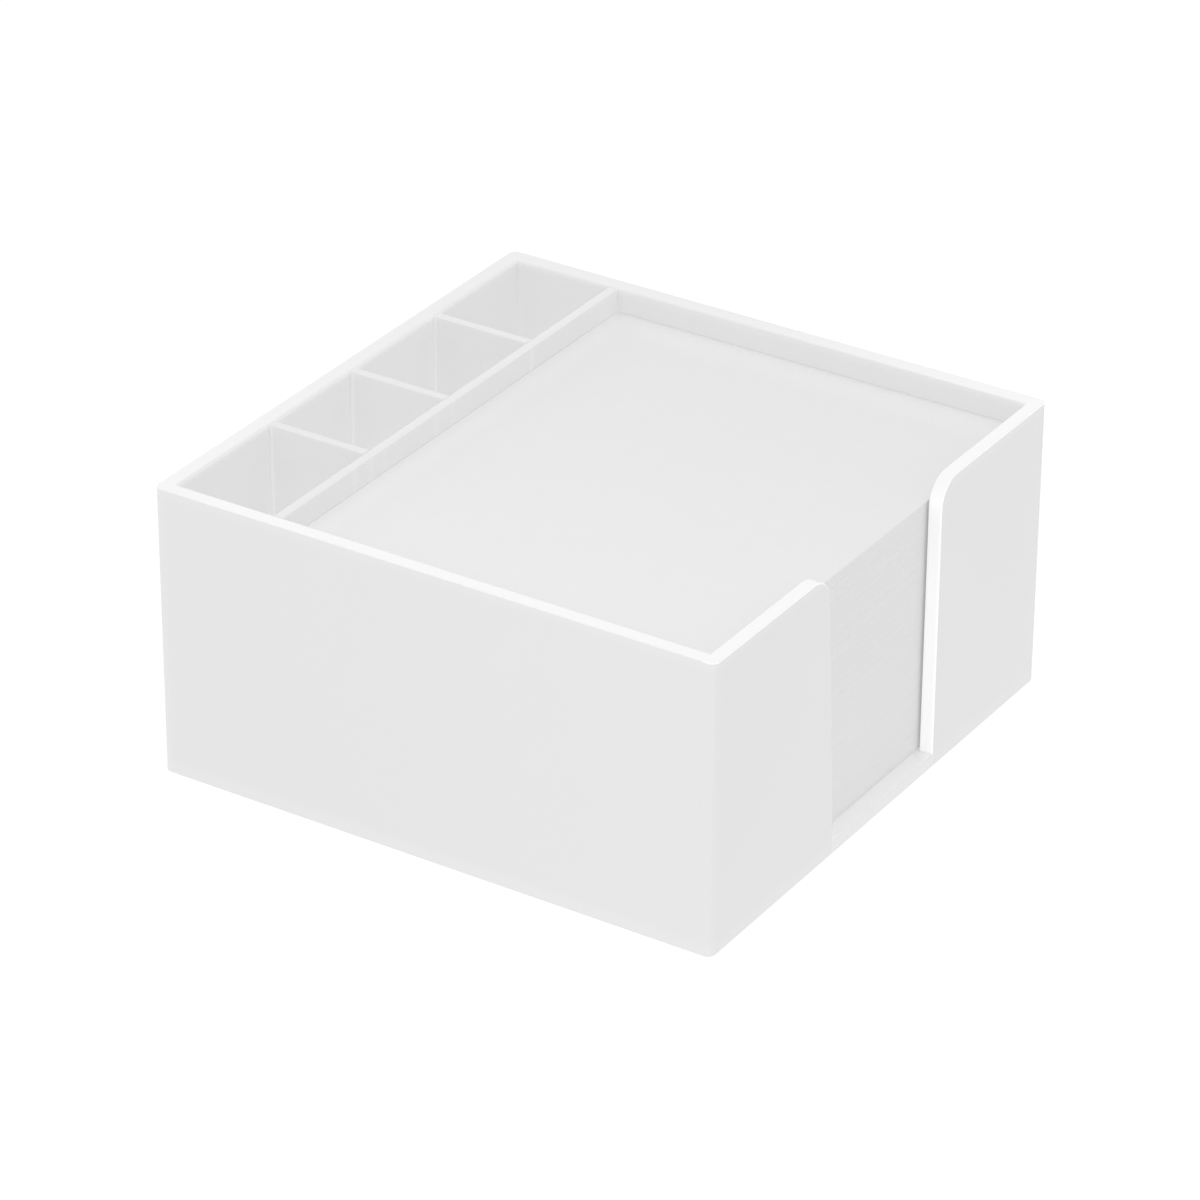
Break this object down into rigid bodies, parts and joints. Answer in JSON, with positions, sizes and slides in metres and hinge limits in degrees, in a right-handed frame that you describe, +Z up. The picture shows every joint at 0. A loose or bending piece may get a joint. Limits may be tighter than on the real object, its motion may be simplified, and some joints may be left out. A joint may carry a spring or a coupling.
{
  "type": "memo pad holder",
  "caption": "Open-topped opal desk organiser: a well for loose note paper with a finger notch, beside a strip of upright bays for pens and clips.",
  "frame": {"origin": "middle of the footprint, on the surface that the holder stands on", "axes": "+X to the right (the side with the finger notch), +Y to the rear, +Z up; the front is -Y"},
  "size_m": [0.136, 0.135, 0.068],
  "materials": {
    "opal_sheet": "opal white acrylic sheet, satin-gloss faces, polished edges",
    "note_paper": "uncoated white writing paper, trimmed pile"
  },
  "bodies": {
    "holder": {"base_plate": "opal_sheet", "front_wall": "opal_sheet", "rear_wall": "opal_sheet", "left_wall": "opal_sheet", "right_wall_front": "opal_sheet", "right_wall_rear": "opal_sheet", "long_divider": "opal_sheet", "cross_divider_front": "opal_sheet", "cross_divider_middle": "opal_sheet", "cross_divider_rear": "opal_sheet"},
    "notes": {"note_stack": "note_paper"}
  },
  "joints": [
    {"name": "note_lift", "type": "slide", "parent": "holder", "child": "notes", "axis": [0, 0, 1], "range_m": [0, 0.08]}
  ]
}
